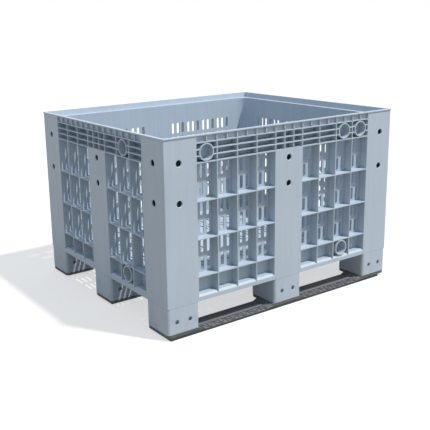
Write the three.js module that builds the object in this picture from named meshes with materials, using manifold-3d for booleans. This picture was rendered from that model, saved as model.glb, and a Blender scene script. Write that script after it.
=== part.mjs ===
// Plastic pallet box: an injection moulded, perforated bulk box on nine feet,
// with three runners screwed under them. Millimetres, +Z up, origin on the
// ground under the middle of the box, long side along X.
import * as THREE from "three";
import { mergeVertices } from "three/addons/utils/BufferGeometryUtils.js";
import Module from "manifold-3d";

const wasm = await Module();
wasm.setup();

// Overall size of the box on its runners
const length = 1200;
const width = 1000;
const height = 760;

// How far the faces lean in from the rim down to the ground
const draftEnd = 7;
const draftSide = 5;

// Levels, from the ground up
const footBottom = 23;
const floorUnderside = 126;
const floorTop = 150;
const shortRowTop = 220.5;

// Levels of the band under the rim, from the top down
const topRowBottom = height - 31;
const bandHigh = height - 56;
const bandLow = height - 80;
const bandBottom = height - 105;

// Rows of tall cells between the short row and the band
const tallRows = 3;

// Walls
const ribDepth = 37.5;
const skin = 4.5;
const rib = 4.5;
const deck = 5;
const postWall = 6;
const cornerRadius = 8;
const cornerSteps = 2;

// Rim, with the step inside it that the box above stands in
const rimLip = 5;
const rimProud = 3;
const rimWidth = 15;
const rimSlant = 4;
const stepDepth = 24;
const topRowDepth = 9;

// Posts and the feet under them
const cornerPostLong = 146;
const cornerPostWide = 146;
const middlePostLong = 142;
const middlePostWide = 142;
const footInset = 3;
const footRadius = 14;

// Ribbed panels between the posts, as columns of cells
const columnsLong = 4;
const columnsWide = 3;
const topCellsLong = 19;
const topCellsWide = 15;
const middleCellPitch = 47.3;
const bandDepth = 33;

// Slots through the skin of the tall cells
const slotsPerCell = 2;
const slotWidth = 19;
const slotMargin = 8.5;
const slotPitch = 40;

// Round bosses in the band and in the short row
const ringRadius = 35;
const ringWall = 5.5;
const ringSides = 8;

// Round holes in the posts
const postHoleRadius = 12;
const cornerHoleInset = 69;
const cornerHoleInsetWide = 75;
const cornerHoleHigh = height - 95;
const middleHoleHigh = height - 139;
const postHoleLow = height - 244;
const postHoleSides = 8;

// Drain slots in the floor and the ribs under it
const floorSlotWidth = 12;
const floorSlotLength = 110;
const underCellsLong = 2;
const underCellsWide = 1;

// Runners
const runnerGap = 0.3;
const padThickness = 12;
const plankThickness = 9;
const plankWidth = 100;
const plankEndInset = 40;
const rampLength = 30;
const plankBays = 7;
const plankRib = 4;
const plankFloor = 3;
const plugHeight = 62;
const plugClearance = 1;
const plugWall = 5;

// Screws that hold the plugs of the runners in the feet
const screwZ = 68;
const screwSpacing = 60;
const screwHeadRadius = 7;
const screwHeadDepth = 5;
const screwRecess = 1;
const screwShankRadius = 3;
const screwLength = 24;
const screwClearance = 0.4;
const screwSides = 6;

// Colours
const bodyColour = 0xa9b6c4;
const runnerColour = 0x1f2a2d;
const screwColour = 0x3a4754;

// How far a cutter runs past a surface, and one solid into the next
const overshoot = 20;
const overlap = 1;

// Turns a closed geometry into a solid that can be joined and cut
function solid(geometry) {
  geometry.deleteAttribute("normal");
  geometry.deleteAttribute("uv");
  const merged = mergeVertices(geometry, 1e-4);
  const mesh = new wasm.Mesh({
    numProp: 3,
    vertProperties: new Float32Array(merged.attributes.position.array),
    triVerts: new Uint32Array(merged.index.array),
  });
  return new wasm.Manifold(mesh);
}

function block(x0, x1, y0, y1, z0, z1) {
  const box = new THREE.BoxGeometry(x1 - x0, y1 - y0, z1 - z0);
  box.translate((x0 + x1) / 2, (y0 + y1) / 2, (z0 + z1) / 2);
  return solid(box);
}

// An upright block with round corners in plan
function roundBlock(x0, x1, y0, y1, z0, z1, radius) {
  const centres = [
    [x1 - radius, y1 - radius],
    [x0 + radius, y1 - radius],
    [x0 + radius, y0 + radius],
    [x1 - radius, y0 + radius],
  ];
  const points = [];
  centres.forEach(([x, y], corner) => {
    for (let step = 0; step <= cornerSteps; step += 1) {
      const angle = ((corner + step / cornerSteps) * Math.PI) / 2;
      points.push(new THREE.Vector2(x + radius * Math.cos(angle), y + radius * Math.sin(angle)));
    }
  });
  const plan = new THREE.Shape(points);
  const prism = new THREE.ExtrudeGeometry(plan, { depth: z1 - z0, bevelEnabled: false });
  prism.translate(0, 0, z0);
  return solid(prism);
}

function joined(solids) {
  return solids.reduce((all, one) => all.add(one));
}

// The two outer faces of the box below the rim
const endFace = length / 2 - rimProud;
const sideFace = width / 2 - rimProud;

// A wall is described once, along the run of its face and inwards from it
const longWall = {
  face: sideFace,
  half: endFace,
  cornerEdge: length / 2 - cornerPostLong,
  middleHalf: middlePostLong / 2,
  columns: columnsLong,
  topCells: topCellsLong,
  cornerHole: length / 2 - cornerHoleInset,
  highRings: [0, 2 * columnsLong - 2, 2 * columnsLong - 1],
  lowRings: [2 * columnsLong - 2],
  place: (solidPart, back) => solidPart.rotate([0, 0, back ? 180 : 0]),
};
const shortWall = {
  face: endFace,
  half: sideFace,
  cornerEdge: width / 2 - cornerPostWide,
  middleHalf: middlePostWide / 2,
  columns: columnsWide,
  topCells: topCellsWide,
  cornerHole: width / 2 - cornerHoleInsetWide,
  highRings: [columnsWide + 1],
  lowRings: [columnsWide + 1],
  place: (solidPart, back) => solidPart.rotate([0, 0, back ? 90 : -90]),
};

// Left and right edges of a wall's columns, from left to right as seen from outside
function columnEdges(wall) {
  const pitch = (wall.cornerEdge - wall.middleHalf) / wall.columns;
  const edges = [];
  for (let column = 0; column < wall.columns; column += 1) {
    edges.push([-wall.cornerEdge + column * pitch, -wall.cornerEdge + (column + 1) * pitch]);
  }
  for (let column = 0; column < wall.columns; column += 1) {
    edges.push([wall.middleHalf + column * pitch, wall.middleHalf + (column + 1) * pitch]);
  }
  return edges;
}

// A pocket between two rib lines and two ledge lines, cut in from the face
function pocket(wall, left, right, low, high, depth) {
  const front = -wall.face - overshoot;
  return block(left + rib / 2, right - rib / 2, front, -wall.face + depth, low, high);
}

function faceCylinder(wall, along, z, radius, depth, sides) {
  const geometry = new THREE.CylinderGeometry(radius, radius, depth + overshoot, sides);
  geometry.rotateY(Math.PI / sides);
  geometry.translate(along, -wall.face + (depth - overshoot) / 2, z);
  return solid(geometry);
}

// A round boss stays standing in the pockets, with a blind hole in it
function leaveRing(pockets, wall, along, z, depth) {
  const outside = faceCylinder(wall, along, z, ringRadius, depth + overlap, ringSides);
  const inside = faceCylinder(wall, along, z, ringRadius - ringWall, depth, ringSides);
  return pockets.subtract(outside).add(inside);
}

function bandPockets(wall) {
  const halfRib = rib / 2;
  const cuts = [];
  const topPitch = (2 * wall.cornerEdge) / wall.topCells;
  for (let cell = 0; cell < wall.topCells; cell += 1) {
    const left = -wall.cornerEdge + cell * topPitch;
    const low = topRowBottom + halfRib;
    cuts.push(pocket(wall, left, left + topPitch, low, height - rimLip, topRowDepth));
  }
  const middle = wall.middleHalf;
  const cells = columnEdges(wall);
  cells.push([-middle, -middleCellPitch / 2]);
  cells.push([-middleCellPitch / 2, middleCellPitch / 2]);
  cells.push([middleCellPitch / 2, middle]);
  const levels = [bandBottom, bandLow, bandHigh, topRowBottom];
  cells.forEach(([left, right], column) => {
    if (wall.highRings.includes(column)) {
      const z = (bandBottom + topRowBottom) / 2;
      const open = pocket(wall, left, right, bandBottom + halfRib, topRowBottom - halfRib, bandDepth);
      cuts.push(leaveRing(open, wall, (left + right) / 2, z, bandDepth));
      return;
    }
    for (let row = 0; row < levels.length - 1; row += 1) {
      const low = levels[row] + halfRib;
      const high = levels[row + 1] - halfRib;
      cuts.push(pocket(wall, left, right, low, high, bandDepth));
    }
  });
  return joined(cuts);
}

// Tall cells with their slots, and the short row over the bottom lip
function panelPockets(wall) {
  const halfRib = rib / 2;
  const rowPitch = (bandBottom - shortRowTop) / tallRows;
  const slotStart = -wall.face + ribDepth - overlap;
  const slotEnd = -wall.face + ribDepth + skin + overshoot;
  const cuts = [];
  columnEdges(wall).forEach(([left, right], column) => {
    const centre = (left + right) / 2;
    for (let row = 0; row < tallRows; row += 1) {
      const low = shortRowTop + row * rowPitch + halfRib;
      const high = low + rowPitch - rib;
      cuts.push(pocket(wall, left, right, low, high, ribDepth));
      for (let slot = 0; slot < slotsPerCell; slot += 1) {
        const x = centre + (slot - (slotsPerCell - 1) / 2) * slotPitch;
        const from = low + slotMargin;
        const to = high - slotMargin;
        cuts.push(block(x - slotWidth / 2, x + slotWidth / 2, slotStart, slotEnd, from, to));
      }
    }
    const shortTop = shortRowTop - halfRib;
    let shortCell = pocket(wall, left, right, floorTop, shortTop, ribDepth);
    if (wall.lowRings.includes(column)) {
      shortCell = leaveRing(shortCell, wall, centre, shortTop - ringRadius, ribDepth);
    }
    cuts.push(shortCell);
  });
  return joined(cuts);
}

function postHoles(wall) {
  const depth = postWall + overlap;
  const spots = [
    [-wall.cornerHole, cornerHoleHigh],
    [wall.cornerHole, cornerHoleHigh],
    [0, middleHoleHigh],
    [-wall.cornerHole, postHoleLow],
    [wall.cornerHole, postHoleLow],
    [0, postHoleLow],
  ];
  return joined(
    spots.map(([along, z]) => faceCylinder(wall, along, z, postHoleRadius, depth, postHoleSides)),
  );
}

// Nine feet stand in three rows of three
const footSpansX = [
  [-endFace, -length / 2 + cornerPostLong - footInset],
  [-middlePostLong / 2 + footInset, middlePostLong / 2 - footInset],
  [length / 2 - cornerPostLong + footInset, endFace],
];
const footSpansY = [
  [-sideFace, -width / 2 + cornerPostWide],
  [-middlePostWide / 2, middlePostWide / 2],
  [width / 2 - cornerPostWide, sideFace],
];

function feet() {
  const solids = [];
  footSpansX.forEach(([x0, x1]) => {
    footSpansY.forEach(([y0, y1]) => {
      solids.push(roundBlock(x0, x1, y0, y1, footBottom, floorUnderside + overlap, footRadius));
    });
  });
  return joined(solids);
}

// The feet are open below, and the posts over the outer ones are hollow too
function footHollows() {
  const low = footBottom - overshoot;
  const cuts = [];
  footSpansX.forEach(([x0, x1]) => {
    footSpansY.forEach(([y0, y1]) => {
      const top = floorTop - deck;
      cuts.push(block(x0 + postWall, x1 - postWall, y0 + postWall, y1 - postWall, low, top));
    });
  });
  return joined(cuts);
}

function postHollows(wall) {
  const inner = -wall.face + ribDepth;
  const outer = -wall.face + postWall;
  const low = floorTop - deck - overlap;
  const cornerTop = topRowBottom - rib;
  const middleTop = bandBottom - rib / 2;
  const middle = wall.middleHalf - postWall;
  const cornerInner = wall.cornerEdge + postWall;
  const cornerOuter = wall.half - postWall;
  return joined([
    block(-middle, middle, outer, inner, low, middleTop),
    block(-cornerOuter, -cornerInner, outer, inner, low, cornerTop),
    block(cornerInner, cornerOuter, outer, inner, low, cornerTop),
  ]);
}

// Load space, with the stacking step and the slanted inside of the rim
function cavity() {
  const wall = ribDepth + skin;
  const main = block(
    -endFace + wall, endFace - wall, -sideFace + wall, sideFace - wall, floorTop, height + overshoot,
  );
  const stepZ = height - stepDepth;
  const lowX = length / 2 - rimWidth - rimSlant;
  const lowY = width / 2 - rimWidth - rimSlant;
  const grow = (rimSlant * (stepDepth + overshoot)) / stepDepth;
  const step = block(-lowX, lowX, -lowY, lowY, stepZ, height + overshoot);
  const tapered = step.warp((point) => {
    if (point[2] > stepZ + overlap) {
      point[0] += Math.sign(point[0]) * grow;
      point[1] += Math.sign(point[1]) * grow;
    }
  });
  return main.add(tapered);
}

// Ribs under the deck and drain slots through it, between the feet
function floorCuts() {
  const spans = (footSpans, count) => {
    const lines = [];
    for (let gap = 0; gap < 2; gap += 1) {
      const start = footSpans[gap][1];
      const pitch = (footSpans[gap + 1][0] - start) / count;
      for (let cell = 0; cell < count; cell += 1) {
        lines.push([start + cell * pitch, start + (cell + 1) * pitch]);
      }
    }
    return lines;
  };
  const betweenX = spans(footSpansX, underCellsLong);
  const betweenY = spans(footSpansY, underCellsWide);
  const cells = [];
  betweenX.forEach((x) => betweenY.forEach((y) => cells.push([x, y, true])));
  betweenX.forEach((x) => footSpansY.forEach((y) => cells.push([x, y, false])));
  footSpansX.forEach((x) => betweenY.forEach((y) => cells.push([x, y, false])));
  const cuts = [];
  const low = floorUnderside - overshoot;
  const half = rib / 2;
  cells.forEach(([[x0, x1], [y0, y1], drained]) => {
    const left = Math.max(x0 + half, -endFace + postWall);
    const right = Math.min(x1 - half, endFace - postWall);
    const front = Math.max(y0 + half, -sideFace + postWall);
    const back = Math.min(y1 - half, sideFace - postWall);
    cuts.push(block(left, right, front, back, low, floorTop - deck));
    if (drained) {
      const x = (x0 + x1) / 2;
      const y = (y0 + y1) / 2;
      const high = floorTop + overshoot;
      [-1, 1].forEach((side) => {
        const centre = x + (side * (x1 - x0)) / 4;
        const l = centre - floorSlotWidth / 2;
        const r = centre + floorSlotWidth / 2;
        cuts.push(block(l, r, y - floorSlotLength / 2, y + floorSlotLength / 2, low, high));
      });
    }
  });
  return joined(cuts);
}

// Draft: everything leans in towards the ground
function drafted(x, y, z) {
  const drop = 1 - z / height;
  return [x * (1 - (draftEnd / (length / 2)) * drop), y * (1 - (draftSide / (width / 2)) * drop), z];
}

function withDraft(part) {
  return part.warp((point) => {
    const [x, y, z] = drafted(point[0], point[1], point[2]);
    point[0] = x;
    point[1] = y;
    point[2] = z;
  });
}

// Two screws through the front side of each foot, and the back of the back row
function screwPlaces() {
  const places = [];
  const columns = ["left", "middle", "right"];
  const sides = [
    { name: "front", row: 0, side: -1 },
    { name: "centre", row: 1, side: -1 },
    { name: "inner", row: 2, side: -1 },
    { name: "back", row: 2, side: 1 },
  ];
  sides.forEach(({ name, row, side }) => {
    const face = footSpansY[row][side < 0 ? 0 : 1];
    footSpansX.forEach(([x0, x1], column) => {
      ["a", "b"].forEach((mark, hand) => {
        const along = (x0 + x1) / 2 + (hand - 0.5) * screwSpacing;
        places.push({ name: `screw_${name}_${columns[column]}_${mark}`, along, face, side, row });
      });
    });
  });
  return places;
}

// A turned form about an axis that runs into the side wall of a foot
function turnedIn(place, profile) {
  const points = profile.map(([radius, depth]) => new THREE.Vector2(radius, depth));
  const turned = new THREE.LatheGeometry(points, screwSides);
  if (place.side > 0) {
    turned.rotateX(Math.PI);
  }
  turned.translate(place.along, place.face, screwZ);
  return solid(turned);
}

function screw(place) {
  const neck = screwRecess + screwHeadDepth;
  return turnedIn(place, [
    [0, screwRecess],
    [screwHeadRadius, screwRecess],
    [screwShankRadius, neck],
    [screwShankRadius, screwLength],
    [0, screwLength],
  ]);
}

// The countersink goes through the wall as one cone
function screwSink(place) {
  const slope = (screwHeadRadius - screwShankRadius) / screwHeadDepth;
  const mouth = screwHeadRadius + screwClearance + slope * screwRecess;
  const tip = mouth / slope;
  return turnedIn(place, [[0, -overlap], [mouth + slope * overlap, -overlap], [0, tip]]);
}

function screwBore(place) {
  const radius = screwShankRadius + screwClearance;
  const end = screwLength + screwClearance;
  return turnedIn(place, [[0, 0], [radius, 0], [radius, end], [0, end]]);
}

function boxBody() {
  const shell = roundBlock(
    -endFace, endFace, -sideFace, sideFace, floorUnderside, height - rimLip, cornerRadius,
  );
  const halfL = length / 2;
  const halfW = width / 2;
  const radius = cornerRadius + rimProud;
  const rim = roundBlock(-halfL, halfL, -halfW, halfW, height - rimLip, height, radius);
  let body = shell.add(rim).add(feet()).subtract(cavity());
  [longWall, shortWall].forEach((wall) => {
    const cuts = joined([bandPockets(wall), panelPockets(wall), postHoles(wall), postHollows(wall)]);
    body = body.subtract(wall.place(cuts, false)).subtract(wall.place(cuts, true));
  });
  body = body.subtract(footHollows()).subtract(floorCuts());
  return withDraft(body.subtract(joined(screwPlaces().map(screwSink))));
}

// One runner: planks, ramps up to the pads, and plugs that go up into the feet
function runner(row) {
  const top = footBottom - runnerGap;
  const [y0, y1] = footSpansY[row];
  const middle = (y0 + y1) / 2;
  const shift = (Math.sign(middle) * (y1 - y0 - plankWidth)) / 2;
  const plank0 = middle + shift - plankWidth / 2;
  const plank1 = plank0 + plankWidth;
  const end = endFace - plankEndInset;
  const innerEdge = footSpansX[2][0];
  const middleEdge = footSpansX[1][1];
  const half = [
    [end, top],
    [innerEdge, top],
    [innerEdge - rampLength, plankThickness],
    [middleEdge + rampLength, plankThickness],
    [middleEdge, top],
  ];
  const profile = [[-end, 0], [end, 0], ...half];
  half.reverse().forEach(([x, z]) => profile.push([-x, z]));
  const outline = new THREE.Shape(profile.map(([x, z]) => new THREE.Vector2(x, z)));
  const bar = new THREE.ExtrudeGeometry(outline, { depth: plankWidth, bevelEnabled: false });
  bar.rotateX(Math.PI / 2);
  bar.translate(0, plank1, 0);
  let body = solid(bar);
  footSpansX.forEach(([x0, x1]) => {
    const pad = roundBlock(x0, x1, y0, y1, top - padThickness, top, footRadius);
    const inset = postWall + plugClearance;
    const plug = block(
      x0 + inset, x1 - inset, y0 + inset, y1 - inset, top - overlap, top + plugHeight,
    );
    const hollow = inset + plugWall;
    const well = block(
      x0 + hollow, x1 - hollow, y0 + hollow, y1 - hollow, top, top + plugHeight + overshoot,
    );
    body = body.add(pad).add(plug).subtract(well);
  });
  const bayStart = middleEdge + rampLength;
  const bayPitch = (innerEdge - rampLength - bayStart) / plankBays;
  const bays = [];
  [-1, 1].forEach((side) => {
    for (let bay = 0; bay < plankBays; bay += 1) {
      const a = side * (bayStart + bay * bayPitch);
      const b = side * (bayStart + (bay + 1) * bayPitch);
      const x0 = Math.min(a, b) + plankRib / 2;
      const x1 = Math.max(a, b) - plankRib / 2;
      const bayTop = plankThickness + overlap;
      bays.push(block(x0, x1, plank0 + plankRib, plank1 - plankRib, plankFloor, bayTop));
    }
  });
  body = body.subtract(joined(bays));
  const places = screwPlaces().filter((place) => place.row === row);
  return withDraft(body.subtract(joined(places.map(screwBore))));
}

function addPiece(group, name, part, material) {
  const data = part.getMesh();
  const geometry = new THREE.BufferGeometry();
  geometry.setAttribute("position", new THREE.BufferAttribute(new Float32Array(data.vertProperties), 3));
  geometry.setIndex(new THREE.BufferAttribute(new Uint32Array(data.triVerts), 1));
  geometry.computeVertexNormals();
  const mesh = new THREE.Mesh(geometry, material);
  mesh.name = name;
  group.add(mesh);
}

function plastic(colour, roughness) {
  return new THREE.MeshStandardMaterial({ color: colour, roughness, metalness: 0, flatShading: true });
}

const group = new THREE.Group();
addPiece(group, "box_body", boxBody(), plastic(bodyColour, 0.5));
["front", "centre", "back"].forEach((side, row) => {
  addPiece(group, `runner_${side}`, runner(row), plastic(runnerColour, 0.7));
});
screwPlaces().forEach((place) => {
  const material = new THREE.MeshStandardMaterial({
    color: screwColour,
    roughness: 0.45,
    metalness: 0.9,
    flatShading: true,
  });
  addPiece(group, place.name, withDraft(screw(place)), material);
});

export default group;
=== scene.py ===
import math

import bmesh
import bpy
from mathutils import Matrix, Vector


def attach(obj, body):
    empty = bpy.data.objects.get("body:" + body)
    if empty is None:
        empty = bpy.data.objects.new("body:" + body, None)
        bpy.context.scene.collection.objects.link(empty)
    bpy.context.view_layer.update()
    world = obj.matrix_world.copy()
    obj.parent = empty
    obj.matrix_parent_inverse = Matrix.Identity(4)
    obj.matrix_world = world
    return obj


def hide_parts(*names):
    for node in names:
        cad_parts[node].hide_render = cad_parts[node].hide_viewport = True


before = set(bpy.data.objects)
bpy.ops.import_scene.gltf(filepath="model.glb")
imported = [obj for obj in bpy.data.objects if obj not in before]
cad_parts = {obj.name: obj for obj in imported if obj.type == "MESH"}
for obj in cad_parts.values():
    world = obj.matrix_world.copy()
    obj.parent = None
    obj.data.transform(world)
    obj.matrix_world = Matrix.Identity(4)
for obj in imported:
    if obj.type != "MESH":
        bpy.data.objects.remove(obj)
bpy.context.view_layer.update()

# Moulded box.
# One injection moulding of blue-grey polyethylene: ribbed and slotted walls, hollow
# posts, a slotted floor and nine hollow feet, drawn off the tool with a slight draft.
length = 1200
width = 1000
height = 760
draft_end = 7
draft_side = 5
foot_bottom = 23
floor_underside = 126
floor_top = 150
tall_rows = 3
short_ledge = 220.5
band_lines = [height - drop for drop in (105, 80, 56, 31)]
tall_row = (band_lines[0] - short_ledge) / tall_rows
ledges = [short_ledge + tall_row * n for n in range(tall_rows + 1)]
rib_depth = 37.5
band_depth = 33
top_row_depth = 9
skin = 4.5
rib = 4.5
deck = 5
post_wall = 6
rim_lip = 5
rim_proud = 3
rim_width = 15
rim_slant = 4
rim_corner = 7
shell_corner = 5
load_corner = 45
foot_corner = 13
small_steps = 3
round_steps = 5
wide_steps = 8
step_depth = 24
edge_round = 0.5
end_face = length / 2 - rim_proud
side_face = width / 2 - rim_proud
past = 20
overlap = 1

# The long and the short wall, each seen from outside with its middle at zero
long_wall = {
    "face": side_face,
    "half": end_face,
    "post_edge": 454,
    "middle": 71,
    "columns": 4,
    "top_cells": 19,
    "hole": 531,
    "high_rings": [0, 6, 7],
    "low_rings": [6],
    "turns": [0, 180],
}
short_wall = {
    "face": end_face,
    "half": side_face,
    "post_edge": 354,
    "middle": 71,
    "columns": 3,
    "top_cells": 15,
    "hole": 425,
    "high_rings": [4],
    "low_rings": [4],
    "turns": [-90, 90],
}
middle_cell = 47.3

# The feet are a little wider than the posts above them
foot_middle = 73
foot_edge_x = 452
foot_edge_y = 352
foot_spans_x = [[-end_face, -foot_edge_x], [-foot_middle, foot_middle], [foot_edge_x, end_face]]
foot_spans_y = [[-side_face, -foot_edge_y], [-foot_middle, foot_middle], [foot_edge_y, side_face]]


def block(mesh, x0, x1, y0, y1, z0, z1):
    size = Matrix.Diagonal((x1 - x0, y1 - y0, z1 - z0, 1))
    centre = Vector(((x0 + x1) / 2, (y0 + y1) / 2, (z0 + z1) / 2))
    made = bmesh.ops.create_cube(mesh, size=1, matrix=Matrix.Translation(centre) @ size)
    return made["verts"]


def upright(mesh, x0, x1, y0, y1, z0, z1, radius, segments):
    verts = block(mesh, x0, x1, y0, y1, z0, z1)
    edges = {edge for vert in verts for edge in vert.link_edges}
    corners = [edge for edge in edges if abs(edge.verts[0].co.z - edge.verts[1].co.z) > 1]
    bmesh.ops.bevel(
        mesh, geom=corners, offset=radius, segments=segments, profile=0.5,
        affect="EDGES", material=-1,
    )


def bore(mesh, x, z, face, depth, radius_out, radius_in, segments):
    # A round cutter, straight or tapered, that runs in from a wall's face along Y
    long = depth + past
    slope = (radius_out - radius_in) / depth
    outer = radius_out + slope * past
    turn = Matrix.Rotation(math.radians(90), 4, "X")
    centre = Vector((x, -face + (depth - past) / 2, z))
    bmesh.ops.create_cone(
        mesh, cap_ends=True, segments=segments, radius1=radius_in, radius2=outer,
        depth=long, matrix=Matrix.Translation(centre) @ turn,
    )


def slot_cutter(mesh, x, z0, z1, y0, y1, wide, segments):
    # An obround: a circle drawn out to the slot's height, then pushed through the wall
    radius = wide / 2
    turn = Matrix.Rotation(math.radians(90), 4, "X")
    centre = Vector((x, y0, (z0 + z1) / 2))
    circle = bmesh.ops.create_circle(
        mesh, cap_ends=True, segments=segments, radius=radius,
        matrix=Matrix.Translation(centre) @ turn @ Matrix.Rotation(math.pi / segments, 4, "Z"),
    )
    stretch = (z1 - z0) / 2 - radius
    for vert in circle["verts"]:
        vert.co.z += math.copysign(stretch, vert.co.z - centre.z)
    faces = list({face for vert in circle["verts"] for face in vert.link_faces})
    pushed = bmesh.ops.extrude_face_region(mesh, geom=faces, use_keep_orig=True)
    moved = [item for item in pushed["geom"] if isinstance(item, bmesh.types.BMVert)]
    bmesh.ops.translate(mesh, verts=moved, vec=(0, y1 - y0, 0))


def transform_new(mesh, before, matrix):
    # Moves only what was drawn since the points in before were counted
    new = [vert for vert in mesh.verts if vert not in before]
    bmesh.ops.transform(mesh, matrix=matrix, verts=new)


def on_walls(draw):
    # What is drawn once for the long and the short wall is turned onto all four
    mesh = bmesh.new()
    for wall in (long_wall, short_wall):
        for turn in wall["turns"]:
            before = set(mesh.verts)
            draw(mesh, wall)
            transform_new(mesh, before, Matrix.Rotation(math.radians(turn), 4, "Z"))
    return mesh


def columns_of(wall):
    pitch = (wall["post_edge"] - wall["middle"]) / wall["columns"]
    starts = [-wall["post_edge"] + pitch * n for n in range(wall["columns"])]
    starts += [wall["middle"] + pitch * n for n in range(wall["columns"])]
    return [(start, start + pitch) for start in starts]


def pocket(mesh, wall, left, right, low, high, depth):
    face = wall["face"]
    block(mesh, left + rib / 2, right - rib / 2, -face - past, -face + depth, low, high)


def draw_top_row(mesh, wall):
    pitch = 2 * wall["post_edge"] / wall["top_cells"]
    for n in range(wall["top_cells"]):
        left = -wall["post_edge"] + n * pitch
        low = band_lines[-1] + rib / 2
        pocket(mesh, wall, left, left + pitch, low, height - rim_lip, top_row_depth)


def draw_band(mesh, wall):
    half = middle_cell / 2
    cells = columns_of(wall) + [(-wall["middle"], -half), (-half, half), (half, wall["middle"])]
    for left, right in cells:
        for low, high in zip(band_lines, band_lines[1:]):
            pocket(mesh, wall, left, right, low + rib / 2, high - rib / 2, band_depth)


def draw_panels(mesh, wall):
    for left, right in columns_of(wall):
        pocket(mesh, wall, left, right, floor_top, ledges[0] - rib / 2, rib_depth)
        for low, high in zip(ledges, ledges[1:]):
            pocket(mesh, wall, left, right, low + rib / 2, high - rib / 2, rib_depth)


sill = 8


def draw_sills(mesh, wall):
    # The lower edge of each short cell slopes down to the outer face
    for left, right in columns_of(wall):
        inner = -wall["face"] + sill
        verts = block(
            mesh, left + rib / 2, right - rib / 2, inner - sill - past, inner,
            floor_top - overlap, floor_top + overlap,
        )
        for vert in verts:
            if vert.co.z < floor_top:
                vert.co.z = floor_top if vert.co.y > -wall["face"] else floor_top - sill - past


slot_wide = 15.5
slot_tall = 54
slot_pitch = 29.5
slot_lift = 6
slot_bar = 15.5
slot_sides = 16
slot_start = 6


def draw_slots(mesh, wall):
    start = -wall["face"] + rib_depth - slot_start
    end = -wall["face"] + rib_depth + skin + past
    for left, right in columns_of(wall):
        for ledge in ledges[:-1]:
            for column in (-1, 0, 1):
                x = (left + right) / 2 + column * slot_pitch
                for tier in (0, 1):
                    low = ledge + rib / 2 + slot_lift + tier * (slot_tall + slot_bar)
                    slot_cutter(mesh, x, low, low + slot_tall, start, end, slot_wide, slot_sides)


ring_radius = 33.5
ring_wall = 5
low_ring_z = 184.1
ring_sides = 36


def ring_places(wall):
    columns = columns_of(wall)
    middle = (band_lines[0] + band_lines[-1]) / 2
    places = [(sum(columns[n]) / 2, middle, band_depth) for n in wall["high_rings"]]
    places += [(sum(columns[n]) / 2, low_ring_z, rib_depth) for n in wall["low_rings"]]
    return places


def draw_rings(mesh, wall):
    # Each drum starts level with the face and runs a little way into the skin
    for x, z, depth in ring_places(wall):
        turn = Matrix.Rotation(math.radians(90), 4, "X")
        long = depth + overlap
        centre = Vector((x, -wall["face"] + long / 2, z))
        bmesh.ops.create_cone(
            mesh, cap_ends=True, segments=ring_sides, radius1=ring_radius, radius2=ring_radius,
            depth=long, matrix=Matrix.Translation(centre) @ turn,
        )


def draw_ring_bores(mesh, wall):
    for x, z, depth in ring_places(wall):
        inner = ring_radius - ring_wall
        bore(mesh, x, z, wall["face"], depth, inner, inner, ring_sides)


hole_radius = 12
corner_hole_high = height - 95
middle_hole_high = height - 139
hole_low = height - 244
hole_sides = 24
hole_chamfer = 1.6


def hole_places(wall):
    out = wall["hole"]
    places = [(-out, corner_hole_high), (out, corner_hole_high), (0, middle_hole_high)]
    return places + [(x, hole_low) for x in (-out, 0, out)]


def draw_post_holes(mesh, wall):
    for x, z in hole_places(wall):
        deep = post_wall + 2 * overlap
        bore(mesh, x, z, wall["face"], deep, hole_radius, hole_radius, hole_sides)


def draw_hole_chamfers(mesh, wall):
    for x, z in hole_places(wall):
        outer = hole_radius + hole_chamfer
        bore(mesh, x, z, wall["face"], hole_chamfer, outer, hole_radius, hole_sides)


hollow_reach = 10
hair = 1e-3


def draw_post_hollows(mesh, wall):
    inner = -wall["face"] + rib_depth
    outer = -wall["face"] + post_wall
    low = floor_underside - hollow_reach
    middle = wall["middle"] - post_wall
    block(mesh, -middle, middle, outer, inner, low, band_lines[0] - rib / 2)
    near = wall["post_edge"] + post_wall
    far = wall["half"] - post_wall
    top = band_lines[-1] - rib
    # The hollow of a corner post turns the corner, so only the long wall's runs into it
    if wall is short_wall:
        far = wall["half"] - rib_depth - hair
    block(mesh, near, far, outer, inner, low, top)
    block(mesh, -far, -near, outer, inner, low, top)


def feet():
    mesh = bmesh.new()
    low = foot_bottom
    high = floor_underside + overlap
    for x0, x1 in foot_spans_x:
        for y0, y1 in foot_spans_y:
            upright(mesh, x0, x1, y0, y1, low, high, foot_corner, round_steps)
    return mesh


def foot_hollows():
    mesh = bmesh.new()
    wall = post_wall
    top = floor_top - deck
    for x0, x1 in foot_spans_x:
        for y0, y1 in foot_spans_y:
            block(mesh, x0 + wall, x1 - wall, y0 + wall, y1 - wall, foot_bottom - past, top)
    return mesh


def load_space():
    mesh = bmesh.new()
    wall = rib_depth + skin
    x = end_face - wall
    y = side_face - wall
    high = height - step_depth + overlap
    upright(mesh, -x, x, -y, y, floor_top, high, load_corner, wide_steps)
    return mesh


def rim_step():
    mesh = bmesh.new()
    x = length / 2 - rim_width - rim_slant
    y = width / 2 - rim_width - rim_slant
    low = height - step_depth
    verts = block(mesh, -x, x, -y, y, low, height + past)
    grow = rim_slant * (step_depth + past) / step_depth
    for vert in verts:
        if vert.co.z > low + overlap:
            vert.co.x += math.copysign(grow, vert.co.x)
            vert.co.y += math.copysign(grow, vert.co.y)
    return mesh


def cells_between(spans, count):
    cells = []
    for (_, start), (end, _) in zip(spans, spans[1:]):
        pitch = (end - start) / count
        cells += [(start + n * pitch, start + (n + 1) * pitch) for n in range(count)]
    return cells


floor_cells_x = cells_between(foot_spans_x, long_wall["columns"])
floor_cells_y = cells_between(foot_spans_y, short_wall["columns"])
floor_cells = [(x, y) for x in floor_cells_x for y in floor_cells_y + foot_spans_y]
floor_cells += [(x, y) for x in foot_spans_x for y in floor_cells_y]
floor_slot_wide = 9
floor_slot_gap = 24
floor_slot_end = 13
floor_slot_sides = 8
floor_margin = 12


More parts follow.
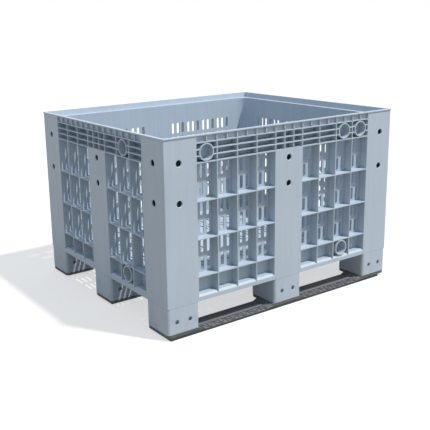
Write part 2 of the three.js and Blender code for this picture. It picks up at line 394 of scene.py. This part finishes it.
def under_floor():
    mesh = bmesh.new()
    half = rib / 2
    for (x0, x1), (y0, y1) in floor_cells:
        left = max(x0 + half, -end_face + post_wall)
        right = min(x1 - half, end_face - post_wall)
        front = max(y0 + half, -side_face + post_wall)
        back = min(y1 - half, side_face - post_wall)
        block(mesh, left, right, front, back, floor_underside - past, floor_top - deck)
    return mesh


def floor_slots():
    mesh = bmesh.new()
    edge_x = end_face - rib_depth - skin - floor_margin
    edge_y = side_face - rib_depth - skin - floor_margin
    for (x0, x1), (y0, y1) in floor_cells:
        x0, x1 = max(x0, -edge_x), min(x1, edge_x)
        y0, y1 = max(y0, -edge_y), min(y1, edge_y)
        for n in (-1, 0, 1):
            x = (x0 + x1) / 2 + n * floor_slot_gap
            start = y0 + floor_slot_end
            end = y1 - floor_slot_end
            before = set(mesh.verts)
            slot_cutter(mesh, 0, start, end, -past, past, floor_slot_wide, floor_slot_sides)
            laid = Matrix.Rotation(math.radians(-90), 4, "X")
            transform_new(mesh, before, Matrix.Translation((x, 0, floor_top)) @ laid)
    return mesh


def as_object(mesh, name):
    bmesh.ops.recalc_face_normals(mesh, faces=mesh.faces)
    data = bpy.data.meshes.new(name)
    mesh.to_mesh(data)
    mesh.free()
    piece = bpy.data.objects.new(name, data)
    bpy.context.collection.objects.link(piece)
    return piece


def shaped(name, base, steps):
    # Joins and cuts a base, then gives back one plain mesh
    piece = as_object(base, name)
    tools = []
    for n, (operation, mesh) in enumerate(steps):
        tool = as_object(mesh, f"{name}_tool_{n}")
        change = piece.modifiers.new(f"step_{n}", "BOOLEAN")
        change.operation = operation
        change.solver = "MANIFOLD"
        change.object = tool
        tools.append(tool)
    graph = bpy.context.evaluated_depsgraph_get()
    result = bpy.data.meshes.new_from_object(piece.evaluated_get(graph))
    piece.modifiers.clear()
    piece.data = result
    for tool in tools:
        bpy.data.objects.remove(tool)
    return piece


def draft_and_scale(mesh):
    # Faces lean in towards the ground, and millimetres become metres
    for vert in mesh.verts:
        drop = 1 - vert.co.z / height
        vert.co.x *= 1 - draft_end / (length / 2) * drop
        vert.co.y *= 1 - draft_side / (width / 2) * drop
    bmesh.ops.scale(mesh, vec=(0.001, 0.001, 0.001), verts=mesh.verts)


weld = 0.02
flat_angle = math.radians(0.5)
sharp_angle = math.radians(35)
large_face_weight = 90


def finish_mesh(piece, round_width):
    # Welds the mesh, merges flat faces, drafts it and rounds its sharp edges
    mesh = bmesh.new()
    mesh.from_mesh(piece.data)
    bmesh.ops.remove_doubles(mesh, verts=mesh.verts, dist=weld)
    bmesh.ops.dissolve_limit(mesh, angle_limit=flat_angle, verts=mesh.verts, edges=mesh.edges)
    draft_and_scale(mesh)
    mesh.to_mesh(piece.data)
    mesh.free()
    for face in piece.data.polygons:
        face.use_smooth = True
    rounding = piece.modifiers.new("edge_round", "BEVEL")
    rounding.width = round_width / 1000
    rounding.segments = 1
    rounding.limit_method = "ANGLE"
    rounding.angle_limit = sharp_angle
    rounding.use_clamp_overlap = False
    evening = piece.modifiers.new("even_faces", "WEIGHTED_NORMAL")
    evening.weight = large_face_weight


# Screws sit in countersinks in the feet: in the front side of each, and the back of the back row
screw_z = 68
screw_gap = 60
screw_head = 8.3
screw_shank = 3
screw_head_depth = 5
screw_recess = 1
screw_play = 0.4
screw_sides = 24
screw_bore_deep = 25
screw_bore_sides = 16
screw_rows = [("front", 0, -1), ("centre", 1, -1), ("inner", 2, -1), ("back", 2, 1)]
foot_columns = ["left", "middle", "right"]


def screw_places():
    places = []
    for row_name, row, side in screw_rows:
        face = foot_spans_y[row][0 if side < 0 else 1]
        for column, (x0, x1) in zip(foot_columns, foot_spans_x):
            for mark, hand in (("a", -0.5), ("b", 0.5)):
                name = f"screw_{row_name}_{column}_{mark}"
                places.append((name, (x0 + x1) / 2 + hand * screw_gap, face, side, row))
    return places


def screw_seat(x, face, side, z):
    turn = Matrix.Rotation(math.radians(0 if side < 0 else 180), 4, "Z")
    return Matrix.Translation((x, face, z)) @ turn


def screw_sinks():
    mesh = bmesh.new()
    slope = (screw_head - screw_shank) / screw_head_depth
    mouth = screw_head + screw_play + slope * screw_recess
    deep = post_wall + overlap
    for _, x, face, side, _ in screw_places():
        before = set(mesh.verts)
        bore(mesh, 0, screw_z, 0, deep, mouth, mouth - slope * deep, screw_sides)
        transform_new(mesh, before, screw_seat(x, face, side, 0))
    return mesh


def box_shell():
    mesh = bmesh.new()
    top = height - rim_lip
    low = floor_underside
    x = end_face
    y = side_face
    upright(mesh, -x, x, -y, y, low, top, shell_corner, small_steps)
    return mesh


def box_rim():
    mesh = bmesh.new()
    x = length / 2
    y = width / 2
    upright(mesh, -x, x, -y, y, height - rim_lip, height, rim_corner, small_steps)
    return mesh


body = shaped("moulded_box", box_shell(), [
    ("UNION", box_rim()),
    ("UNION", feet()),
    ("DIFFERENCE", load_space()),
    ("DIFFERENCE", rim_step()),
    ("DIFFERENCE", foot_hollows()),
    ("DIFFERENCE", on_walls(draw_post_hollows)),
    ("DIFFERENCE", on_walls(draw_top_row)),
    ("DIFFERENCE", on_walls(draw_band)),
    ("DIFFERENCE", on_walls(draw_panels)),
    ("DIFFERENCE", on_walls(draw_sills)),
    ("UNION", on_walls(draw_rings)),
    ("DIFFERENCE", on_walls(draw_ring_bores)),
    ("DIFFERENCE", on_walls(draw_slots)),
    ("DIFFERENCE", on_walls(draw_post_holes)),
    ("DIFFERENCE", on_walls(draw_hole_chamfers)),
    ("DIFFERENCE", under_floor()),
    ("DIFFERENCE", floor_slots()),
    ("DIFFERENCE", screw_sinks()),
])
finish_mesh(body, edge_round)


def linear(colour):
    # sRGB hex to the linear values that a shader takes
    parts = [int(colour[n:n + 2], 16) / 255 for n in (0, 2, 4)]
    return [p / 12.92 if p <= 0.04045 else ((p + 0.055) / 1.055) ** 2.4 for p in parts] + [1]


def add_node(tree, kind, inputs=None, **settings):
    node = tree.nodes.new(kind)
    for name, value in settings.items():
        setattr(node, name, value)
    for socket, value in (inputs or {}).items():
        if isinstance(value, bpy.types.NodeSocket):
            tree.links.new(value, node.inputs[socket])
        else:
            node.inputs[socket].default_value = value
    return node


def new_material(name):
    material = bpy.data.materials.new(name)
    material.use_nodes = True
    material.node_tree.nodes.clear()
    return material


def pattern_scale(size):
    # A pattern's size is given in millimetres, and a node takes repeats in a metre
    return 1000 / size


def flow_marks(tree, place, under):
    # Faint streaks left where the melt ran up the walls of the tool
    drawn_out = add_node(tree, "ShaderNodeMapping", {"Vector": place, "Scale": (1, 1, 0.07)})
    streak = add_node(
        tree, "ShaderNodeTexNoise",
        {"Vector": drawn_out.outputs[0], "Scale": pattern_scale(23.8), "Detail": 6.0},
    )
    amount = add_node(
        tree, "ShaderNodeMapRange",
        {"Value": streak.outputs[0], "From Min": 0.45, "From Max": 0.8, "To Max": 0.35},
    )
    return add_node(
        tree, "ShaderNodeMixRGB",
        {"Fac": amount.outputs[0], "Color1": under, "Color2": linear("9ba8b5")},
    ).outputs[0]


def painted_parting_shade(tree, high, under):
    # The tool parts at the top of the feet; round them runs a fine dark line of painted shade,
    # standing in for the shadow under the small parting lip, which is not modelled as geometry
    middle = (floor_underside - 1) / 1000
    half_wide = 0.9 / 1000
    on_shade_line = add_node(
        tree, "ShaderNodeMath", {0: high, 1: middle, 2: half_wide}, operation="COMPARE",
    )
    amount = add_node(
        tree, "ShaderNodeMath", {0: on_shade_line.outputs[0], 1: 0.4}, operation="MULTIPLY",
    )
    return add_node(
        tree, "ShaderNodeMixRGB",
        {"Fac": amount.outputs[0], "Color1": under, "Color2": linear("5f6b76")},
    ).outputs[0]


def ground_dust(tree, high, grime, under):
    # Patches of pale dust that thicken towards the ground
    low = add_node(
        tree, "ShaderNodeMapRange",
        {"Value": high, "From Min": 0.16, "From Max": 0.02, "To Max": 0.55},
    )
    patches = add_node(
        tree, "ShaderNodeMapRange", {"Value": grime, "From Min": 0.5, "From Max": 0.72},
    )
    amount = add_node(
        tree, "ShaderNodeMath", {0: low.outputs[0], 1: patches.outputs[0]}, operation="MULTIPLY",
    )
    return add_node(
        tree, "ShaderNodeMixRGB",
        {"Fac": amount.outputs[0], "Color1": under, "Color2": linear("8f959a")},
    ).outputs[0]


def eroded_face(tree, place, cloud):
    # The grain of the eroded tool is finer than this and is drawn coarse enough to show
    grain = add_node(
        tree, "ShaderNodeTexNoise",
        {"Vector": place, "Scale": pattern_scale(1.43), "Detail": 2.0},
    )
    fine = add_node(
        tree, "ShaderNodeBump", {"Height": grain.outputs[0], "Strength": 0.25, "Distance": 0.0004},
    )
    return add_node(
        tree, "ShaderNodeBump",
        {"Height": cloud, "Strength": 0.4, "Distance": 0.004, "Normal": fine.outputs[0]},
    ).outputs[0]


def moulded_polyethylene():
    # Blue-grey HDPE with a fine eroded mould face: soft sheen, faint flow marks, a little dust
    material = new_material("blue_grey_moulded_polyethylene")
    tree = material.node_tree
    place = add_node(tree, "ShaderNodeTexCoord").outputs["Object"]
    high = add_node(tree, "ShaderNodeSeparateXYZ", {0: place}).outputs["Z"]
    cloud = add_node(
        tree, "ShaderNodeTexNoise", {"Vector": place, "Scale": pattern_scale(222), "Detail": 5.0},
    ).outputs[0]
    grime = add_node(
        tree, "ShaderNodeTexNoise",
        {"Vector": place, "Scale": pattern_scale(38.5), "Detail": 8.0, "Roughness": 0.7},
    ).outputs[0]
    tone = add_node(
        tree, "ShaderNodeMixRGB",
        {"Fac": cloud, "Color1": linear("a5b3c0"), "Color2": linear("b2bfcc")},
    )
    streaked = flow_marks(tree, place, tone.outputs[0])
    # Adds a fine dark line of painted shade round the tops of the feet
    with_painted_shade_line = painted_parting_shade(tree, high, streaked)
    gloss = add_node(tree, "ShaderNodeMapRange", {"Value": grime, "To Min": 0.42, "To Max": 0.6})
    shader = add_node(
        tree, "ShaderNodeBsdfPrincipled",
        {
            "Base Color": ground_dust(tree, high, grime, with_painted_shade_line),
            "Roughness": gloss.outputs[0],
            "IOR": 1.53,
            "Normal": eroded_face(tree, place, cloud),
        },
    )
    add_node(tree, "ShaderNodeOutputMaterial", {"Surface": shader.outputs[0]})
    return material


body.data.materials.clear()
body.data.materials.append(moulded_polyethylene())
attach(body, "root")
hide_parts("box_body")

# Runners.
# Black recycled polyethylene, moulded: three pads under the feet, thin ribbed planks
# between them with ramps for truck wheels, and plugs that go up into the hollow feet.
seat_gap = 0.3
runner_top = foot_bottom - seat_gap
pad_thick = 12
plank_thick = 9
plank_wide = 100
left_inset = 12
right_inset = 40
ramp = 30
pad_corner = 16
plug_corner = 2
plug_steps = 2
runner_edge_round = 0.3
plank_bays = 11
plank_rib = 2.4
trough_wide = 38
ramp_groove_count = 6
groove_depth = 3
groove_end = 3
plank_floor = 6.5
plug_tall = 62
plug_play = 1
plug_wall = 5


def push_outline(mesh, outline, low, high):
    verts = [mesh.verts.new((x, low, z)) for x, z in outline]
    face = mesh.faces.new(verts)
    pushed = bmesh.ops.extrude_face_region(mesh, geom=[face], use_keep_orig=True)
    moved = [item for item in pushed["geom"] if isinstance(item, bmesh.types.BMVert)]
    bmesh.ops.translate(mesh, verts=moved, vec=(0, high - low, 0))


def runner_bar(low, high):
    # The side view of the bar, as one outline pushed across the plank's width
    right = end_face - right_inset
    left = left_inset - end_face
    inner = foot_spans_x[2][0]
    middle = foot_spans_x[1][1]
    half = [
        (inner, runner_top), (inner - ramp, plank_thick),
        (middle + ramp, plank_thick), (middle, runner_top),
    ]
    outline = [(left, 0), (right, 0), (right, runner_top)] + half
    outline += [(-x, z) for x, z in reversed(half)] + [(left, runner_top)]
    mesh = bmesh.new()
    push_outline(mesh, outline, low, high)
    return mesh


def runner_pads(y0, y1):
    mesh = bmesh.new()
    for x0, x1 in foot_spans_x:
        low = runner_top - pad_thick
        upright(mesh, x0, x1, y0, y1, low, runner_top, pad_corner, round_steps)
    return mesh


def runner_plugs(y0, y1, inset, low, high):
    mesh = bmesh.new()
    for x0, x1 in foot_spans_x:
        left = x0 + inset
        right = x1 - inset
        front = y0 + inset
        back = y1 - inset
        upright(mesh, left, right, front, back, low, high, plug_corner, plug_steps)
    return mesh


def plank_bay_ends():
    start = foot_spans_x[1][1] + ramp
    pitch = (foot_spans_x[2][0] - ramp - start) / plank_bays
    ends = []
    for n in range(plank_bays):
        ends.append((start + n * pitch, start + (n + 1) * pitch))
        ends.append((-start - (n + 1) * pitch, -start - n * pitch))
    return ends


def runner_bays(low, high):
    # A trough of bays along the outer edge of the plank, split by cross ribs
    mesh = bmesh.new()
    for start, end in plank_bay_ends():
        left = start + plank_rib / 2
        right = end - plank_rib / 2
        block(mesh, left, right, low, high, plank_floor, plank_thick + past)
    return mesh


def runner_zigzag(low, high):
    # Slanted ribs in the trough, leaning left and right in turn
    mesh = bmesh.new()
    deep = high - low
    for n, (start, end) in enumerate(plank_bay_ends()):
        slope = (end - start - 4 * plank_rib) / deep * (1 if n // 2 % 2 else -1)
        left = (start + end - plank_rib) / 2
        middle = (low + high) / 2
        verts = block(
            mesh, left, left + plank_rib, low - overlap, high + overlap,
            plank_floor - overlap, plank_thick,
        )
        for vert in verts:
            vert.co.x += (vert.co.y - middle) * slope
    return mesh


def ramp_grooves(low, high):
    # Ribs run up each ramp, with grooves sunk between them
    mesh = bmesh.new()
    rise = (runner_top - plank_thick) / ramp
    pitch = (high - low) / ramp_groove_count
    near = groove_end
    far = ramp - groove_end
    corners = [(near, -groove_depth), (far, -groove_depth), (far, past), (near, past)]
    for foot, away in ((foot_spans_x[1][1], 1), (foot_spans_x[2][0], -1)):
        for side in (-1, 1):
            for n in range(ramp_groove_count):
                outline = [
                    (side * (foot + away * step), runner_top - rise * step + lift)
                    for step, lift in corners
                ]
                start = low + n * pitch + plank_rib / 2
                push_outline(mesh, outline, start, start + pitch - plank_rib)
    return mesh


def screw_bores(row):
    mesh = bmesh.new()
    radius = screw_shank + screw_play
    for _, x, face, side, screw_row in screw_places():
        if screw_row == row:
            before = set(mesh.verts)
            bore(mesh, 0, screw_z, 0, screw_bore_deep, radius, radius, screw_bore_sides)
            transform_new(mesh, before, screw_seat(x, face, side, 0))
    return mesh


def lying_dust(tree, specks, under):
    # Pale dust in specks, on what faces up
    normal = add_node(tree, "ShaderNodeNewGeometry").outputs["Normal"]
    facing = add_node(tree, "ShaderNodeSeparateXYZ", {0: normal})
    upward = add_node(
        tree, "ShaderNodeMapRange",
        {"Value": facing.outputs["Z"], "From Min": 0.3, "From Max": 0.95, "To Max": 0.8},
    )
    amount = add_node(
        tree, "ShaderNodeMath", {0: upward.outputs[0], 1: specks}, operation="MULTIPLY",
    )
    return add_node(
        tree, "ShaderNodeMixRGB",
        {"Fac": amount.outputs[0], "Color1": under, "Color2": linear("a6a7ac")},
    ).outputs[0]


def scuffed_pads(tree, high, cloud, under):
    # The pads stand above the planks, where forks and wheels rub them grey-brown
    above_bar = add_node(
        tree, "ShaderNodeMapRange",
        {"Value": high, "From Min": 0.0095, "From Max": 0.0125, "To Max": 0.6},
    )
    amount = add_node(
        tree, "ShaderNodeMath", {0: above_bar.outputs[0], 1: cloud}, operation="MULTIPLY",
    )
    return add_node(
        tree, "ShaderNodeMixRGB",
        {"Fac": amount.outputs[0], "Color1": under, "Color2": linear("8b867c")},
    ).outputs[0]


def recycled_polyethylene():
    # Recycled black HDPE: dull and a little uneven, with pale dust lying on what faces up
    material = new_material("black_recycled_polyethylene")
    tree = material.node_tree
    place = add_node(tree, "ShaderNodeTexCoord").outputs["Object"]
    high = add_node(tree, "ShaderNodeSeparateXYZ", {0: place}).outputs["Z"]
    cloud = add_node(
        tree, "ShaderNodeTexNoise", {"Vector": place, "Scale": pattern_scale(33.3), "Detail": 7.0},
    ).outputs[0]
    specks = add_node(
        tree, "ShaderNodeTexNoise",
        {"Vector": place, "Scale": pattern_scale(6.25), "Detail": 6.0, "Roughness": 0.7},
    ).outputs[0]
    base = add_node(
        tree, "ShaderNodeMixRGB",
        {"Fac": cloud, "Color1": linear("1b2428"), "Color2": linear("2c383b")},
    )
    dusty = lying_dust(tree, specks, base.outputs[0])
    gloss = add_node(tree, "ShaderNodeMapRange", {"Value": cloud, "To Min": 0.5, "To Max": 0.8})
    rough = add_node(
        tree, "ShaderNodeBump", {"Height": specks, "Strength": 0.4, "Distance": 0.0008},
    )
    shader = add_node(
        tree, "ShaderNodeBsdfPrincipled",
        {
            "Base Color": scuffed_pads(tree, high, cloud, dusty),
            "Roughness": gloss.outputs[0],
            "IOR": 1.53,
            "Normal": rough.outputs[0],
        },
    )
    add_node(tree, "ShaderNodeOutputMaterial", {"Surface": shader.outputs[0]})
    return material


runner_finish = recycled_polyethylene()
for row, runner_name in enumerate(["front", "centre", "back"]):
    y0, y1 = foot_spans_y[row]
    middle = (y0 + y1) / 2
    shift = (row - 1) * (y1 - y0 - plank_wide) / 2
    low = middle + shift - plank_wide / 2
    high = low + plank_wide
    trough = high - trough_wide - plank_rib if row == 2 else low + plank_rib
    inset = post_wall + plug_play
    well = inset + plug_wall
    plug_top = runner_top + plug_tall
    runner = shaped(f"ribbed_runner_{runner_name}", runner_bar(low, high), [
        ("UNION", runner_pads(y0, y1)),
        ("UNION", runner_plugs(y0, y1, inset, runner_top - overlap, plug_top)),
        ("DIFFERENCE", runner_plugs(y0, y1, well, runner_top, plug_top + past)),
        ("DIFFERENCE", runner_bays(trough, trough + trough_wide)),
        ("UNION", runner_zigzag(trough, trough + trough_wide)),
        ("DIFFERENCE", ramp_grooves(low, high)),
        ("DIFFERENCE", screw_bores(row)),
    ])
    finish_mesh(runner, runner_edge_round)
    runner.data.materials.clear()
    runner.data.materials.append(runner_finish)
    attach(runner, "root")
    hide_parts(f"runner_{runner_name}")

# Screws.
# Dark coated steel, turned and rolled: a flat countersunk head with a cross recess,
# driven through the wall of the foot into the plug of the runner.
screw_length = 24
cross_half = 4
cross_slot_half = 0.8
cross_depth = 2


def coated_steel():
    # Dark phosphate coat over steel: almost black, with a low dull gleam
    material = new_material("dark_coated_steel")
    tree = material.node_tree
    place = add_node(tree, "ShaderNodeTexCoord").outputs["Object"]
    mottle = add_node(
        tree, "ShaderNodeTexNoise", {"Vector": place, "Scale": pattern_scale(2.5), "Detail": 4.0},
    )
    coat = add_node(
        tree, "ShaderNodeMixRGB",
        {"Fac": mottle.outputs[0], "Color1": linear("3f4b54"), "Color2": linear("687580")},
    )
    gloss = add_node(
        tree, "ShaderNodeMapRange", {"Value": mottle.outputs[0], "To Min": 0.4, "To Max": 0.6},
    )
    shader = add_node(
        tree, "ShaderNodeBsdfPrincipled",
        {"Base Color": coat.outputs[0], "Metallic": 0.4, "Roughness": gloss.outputs[0]},
    )
    add_node(tree, "ShaderNodeOutputMaterial", {"Surface": shader.outputs[0]})
    return material


def turned_screw():
    # Half a section, spun about the screw's axis, which runs along Y from the head at zero
    mesh = bmesh.new()
    neck = screw_recess + screw_head_depth
    section = [
        (0, screw_recess), (screw_head, screw_recess), (screw_shank, neck),
        (screw_shank, screw_length), (0, screw_length),
    ]
    verts = [mesh.verts.new((radius, depth, 0)) for radius, depth in section]
    edges = [mesh.edges.new(pair) for pair in zip(verts, verts[1:])]
    bmesh.ops.spin(
        mesh, geom=verts + edges, cent=(0, 0, 0), axis=(0, 1, 0), angle=2 * math.pi,
        steps=screw_sides, use_merge=True,
    )
    bmesh.ops.remove_doubles(mesh, verts=mesh.verts, dist=hair)
    return mesh


def cross_slot(half_wide, half_high):
    mesh = bmesh.new()
    deep = screw_recess + cross_depth
    block(mesh, -half_wide, half_wide, -past, deep, -half_high, half_high)
    return mesh


screw_finish = coated_steel()
for name, x, face, side, _ in screw_places():
    screw = shaped(f"turned_{name}", turned_screw(), [
        ("DIFFERENCE", cross_slot(cross_half, cross_slot_half)),
        ("DIFFERENCE", cross_slot(cross_slot_half, cross_half)),
    ])
    mesh = bmesh.new()
    mesh.from_mesh(screw.data)
    bmesh.ops.transform(mesh, matrix=screw_seat(x, face, side, screw_z), verts=mesh.verts)
    draft_and_scale(mesh)
    mesh.to_mesh(screw.data)
    mesh.free()
    screw.data.materials.clear()
    screw.data.materials.append(screw_finish)
    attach(screw, "root")
    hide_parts(name)

# Studio.
# A plain pale floor that keeps the shadow, a high soft key from the front right, and an
# even pale surround that shows white to the camera and to reflections.
floor_half = 30


def seen_directly(tree):
    # One for rays from the camera, from a reflection or through something clear, else zero
    ray = add_node(tree, "ShaderNodeLightPath").outputs
    seen = add_node(
        tree, "ShaderNodeMath", {0: ray["Is Camera Ray"], 1: ray["Is Glossy Ray"]},
        operation="MAXIMUM",
    )
    return add_node(
        tree, "ShaderNodeMath", {0: seen.outputs[0], 1: ray["Is Transmission Ray"]},
        operation="MAXIMUM",
    ).outputs[0]


def pale_matt_floor():
    # White where it is seen, but dull and a little warm in the light that it throws back
    material = new_material("pale_matt_floor")
    tree = material.node_tree
    dull = add_node(tree, "ShaderNodeBsdfDiffuse", {"Color": (0.36, 0.31, 0.25, 1)})
    bright = add_node(tree, "ShaderNodeEmission", {"Color": (1, 1, 1, 1), "Strength": 0.6})
    lit = add_node(tree, "ShaderNodeBsdfDiffuse", {"Color": (0.33, 0.33, 0.33, 1)})
    white = add_node(tree, "ShaderNodeAddShader", {0: bright.outputs[0], 1: lit.outputs[0]})
    surface = add_node(
        tree, "ShaderNodeMixShader",
        {0: seen_directly(tree), 1: dull.outputs[0], 2: white.outputs[0]},
    )
    add_node(tree, "ShaderNodeOutputMaterial", {"Surface": surface.outputs[0]})
    return material


def pale_surround():
    # White where it is seen, and a dimmer, bluer light on the box
    world = bpy.data.worlds.new("pale_surround")
    world.use_nodes = True
    tree = world.node_tree
    tree.nodes.clear()
    glow = add_node(
        tree, "ShaderNodeBackground", {"Color": (0.82, 0.97, 1.14, 1), "Strength": 0.55},
    )
    white = add_node(tree, "ShaderNodeBackground", {"Color": (1, 1, 1, 1), "Strength": 1.0})
    surface = add_node(
        tree, "ShaderNodeMixShader",
        {0: seen_directly(tree), 1: glow.outputs[0], 2: white.outputs[0]},
    )
    add_node(tree, "ShaderNodeOutputWorld", {"Surface": surface.outputs[0]})
    return world


floor_mesh = bmesh.new()
bmesh.ops.create_grid(floor_mesh, x_segments=1, y_segments=1, size=floor_half)
floor = as_object(floor_mesh, "studio_floor")
floor.data.materials.append(pale_matt_floor())
bpy.context.scene.world = pale_surround()

key_towards = Vector((0.27, -0.42, 0.87))
key_data = bpy.data.lights.new("high_key", "SUN")
key_data.energy = 3.6
key_data.angle = math.radians(3)
key_data.color = (1, 0.97, 0.93)
key = bpy.data.objects.new("high_key", key_data)
key.rotation_euler = key_towards.to_track_quat("Z", "Y").to_euler()
bpy.context.collection.objects.link(key)

# The camera stands where the photograph was taken from, and its shift frames the box as there
camera_place = Vector((-1.9514, -2.5811, 1.1842))
camera_azimuth = math.radians(56.121)
camera_down = math.radians(11.168)
camera_roll = math.radians(-1.3)
camera_data = bpy.data.cameras.new("camera")
camera_data.sensor_width = 36
camera_data.lens = 60.87
camera_data.shift_x = 0.0964
camera_data.shift_y = -0.1325
camera_data.clip_end = 100
camera = bpy.data.objects.new("camera", camera_data)
look = Vector((
    math.cos(camera_down) * math.cos(camera_azimuth),
    math.cos(camera_down) * math.sin(camera_azimuth),
    -math.sin(camera_down),
))
level = look.to_track_quat("-Z", "Y").to_matrix().to_4x4()
camera.matrix_world = (
    Matrix.Translation(camera_place) @ level @ Matrix.Rotation(camera_roll, 4, "Z")
)
bpy.context.collection.objects.link(camera)
bpy.context.scene.camera = camera
bpy.context.scene.view_settings.view_transform = "Standard"
